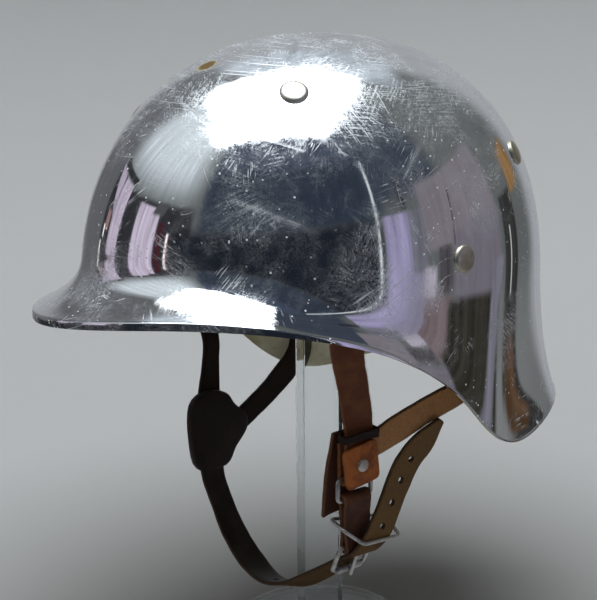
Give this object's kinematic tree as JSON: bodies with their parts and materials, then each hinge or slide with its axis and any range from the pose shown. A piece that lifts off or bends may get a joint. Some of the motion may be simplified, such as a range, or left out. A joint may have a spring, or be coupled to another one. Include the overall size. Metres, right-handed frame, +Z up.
{
  "type": "parade helmet on a display stand",
  "caption": "Plated steel parade helmet with a flared brim, a long neck guard and a buckled leather chin strap, resting on a plain clear display stand.",
  "frame": {"origin": "centre of the underside of the stand's base", "axes": "+Z up, -Y is the helmet's front, +X is the wearer's left"},
  "size_m": [0.2108, 0.3152, 0.3412],
  "materials": {
    "plated_steel": "bright plated, finely scratched",
    "nickel": "dull nickel plating",
    "brown_leather": "worn, with fuzzy edges",
    "tan_leather": "flesh side, matt",
    "black_leather": "worn satin",
    "clear_acrylic": "clear, polished"
  },
  "bodies": {
    "root": {"shell": "plated_steel", "rivet_front_left": "nickel", "rivet_front_right": "nickel", "rivet_side_left": "nickel", "rivet_side_right": "nickel", "rivet_rear_left": "nickel", "rivet_rear_right": "nickel", "left_front_strap": "brown_leather", "left_front_stud": "nickel", "left_rear_strap": "tan_leather", "left_rear_stud": "nickel", "left_strap_loop": "black_leather", "left_tab": "tan_leather", "left_tab_rivet": "nickel", "left_flap": "brown_leather", "left_ring": "nickel", "buckle_strap": "brown_leather", "keeper_wire": "nickel", "buckle_frame": "nickel", "buckle_roller": "nickel", "buckle_prong": "nickel", "chin_strap": "black_leather", "right_front_strap": "black_leather", "right_front_stud": "nickel", "right_rear_strap": "black_leather", "right_rear_stud": "nickel", "right_strap_joint": "black_leather", "stand_base": "clear_acrylic", "stand_bar": "clear_acrylic", "stand_top": "clear_acrylic"}
  },
  "joints": []
}
